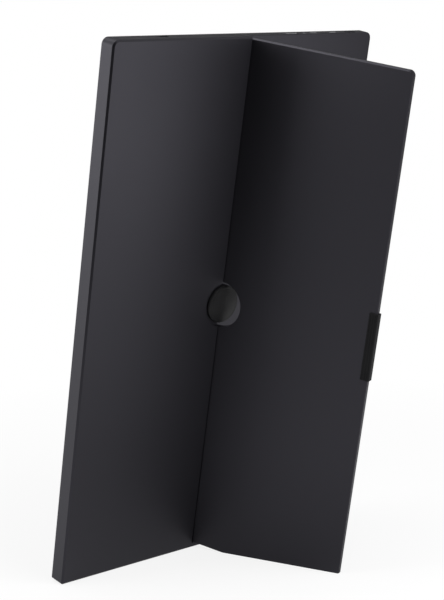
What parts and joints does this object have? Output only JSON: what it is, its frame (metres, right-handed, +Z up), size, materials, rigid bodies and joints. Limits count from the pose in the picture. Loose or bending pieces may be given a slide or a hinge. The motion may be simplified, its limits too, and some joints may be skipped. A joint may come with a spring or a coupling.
{
  "type": "portable monitor",
  "caption": "Slim portable monitor standing upright in portrait on its back edge and a hinged stand flap, with side buttons, port and rubber feet.",
  "frame": {"origin": "middle of the footprint box, on the table that the monitor stands on", "axes": "+Z up, screen towards -Y, flap towards +Y, +X towards the raised half of the back"},
  "size_m": [0.2264, 0.1786, 0.3558],
  "materials": {
    "body_plastic": "fine matte grain, charcoal",
    "bezel_plastic": "fine matte grain, black",
    "flap_plastic": "fine matte grain, charcoal",
    "button_plastic": "satin, charcoal",
    "foot_rubber": "soft matte, black",
    "screen_glass": "anti-glare coating over a dark panel",
    "clear_plastic": "clear, polished",
    "panel_metal": "mill finish sheet",
    "circuit_board": "green solder mask",
    "flex_film": "amber film",
    "chip_plastic": "moulded black",
    "plated_steel": "bright plated",
    "hinge_steel": "dark oiled",
    "screw_steel": "black zinc"
  },
  "bodies": {
    "monitor": {"rear_cover": "body_plastic", "front_bezel": "bezel_plastic", "panel_tape": "flex_film", "display_glass": "screen_glass", "diffuser_sheets": "clear_plastic", "light_guide": "clear_plastic", "led_strip": "flex_film", "panel_tray": "panel_metal", "panel_driver_board": "circuit_board", "panel_cable": "flex_film", "insulator_sheet": "flex_film", "main_board": "circuit_board", "board_chips": "chip_plastic", "shield_can": "plated_steel", "usb_c_shell": "plated_steel", "usb_c_tongue": "chip_plastic", "tact_switches": "chip_plastic", "light_pipe": "clear_plastic", "lock_plate": "plated_steel", "centre_foot": "foot_rubber", "cover_screws": "screw_steel", "board_screws": "screw_steel", "bracket_screws": "screw_steel", "lower_hinge_bracket": "hinge_steel", "lower_friction_clips": "hinge_steel", "upper_hinge_bracket": "hinge_steel", "upper_friction_clips": "hinge_steel"},
    "stand_flap": {"flap_panel": "flap_plastic", "flap_plate": "flap_plastic", "edge_foot": "foot_rubber", "leaf_screws": "screw_steel", "lower_hinge_leaf": "hinge_steel", "lower_hinge_pin": "hinge_steel", "upper_hinge_leaf": "hinge_steel", "upper_hinge_pin": "hinge_steel"},
    "power_button": {"power_button": "button_plastic"},
    "menu_button": {"menu_button": "button_plastic"},
    "select_button": {"select_button": "button_plastic"}
  },
  "joints": [
    {"name": "flap_hinge", "type": "hinge", "parent": "monitor", "child": "stand_flap", "pos_m": [-0.00136, -0.04757, 0.1771], "axis": [0, -0.1781, -0.984], "range_deg": [-71.65, 18.35]},
    {"name": "power_button_press", "type": "slide", "parent": "monitor", "child": "power_button", "axis": [0, -0.1781, -0.984], "range_m": [0, 0.0003], "stiffness_N_per_m": 1000},
    {"name": "menu_button_press", "type": "slide", "parent": "monitor", "child": "menu_button", "axis": [0, -0.1781, -0.984], "range_m": [0, 0.0003], "stiffness_N_per_m": 1000},
    {"name": "select_button_press", "type": "slide", "parent": "monitor", "child": "select_button", "axis": [0, -0.1781, -0.984], "range_m": [0, 0.0003], "stiffness_N_per_m": 1000}
  ]
}
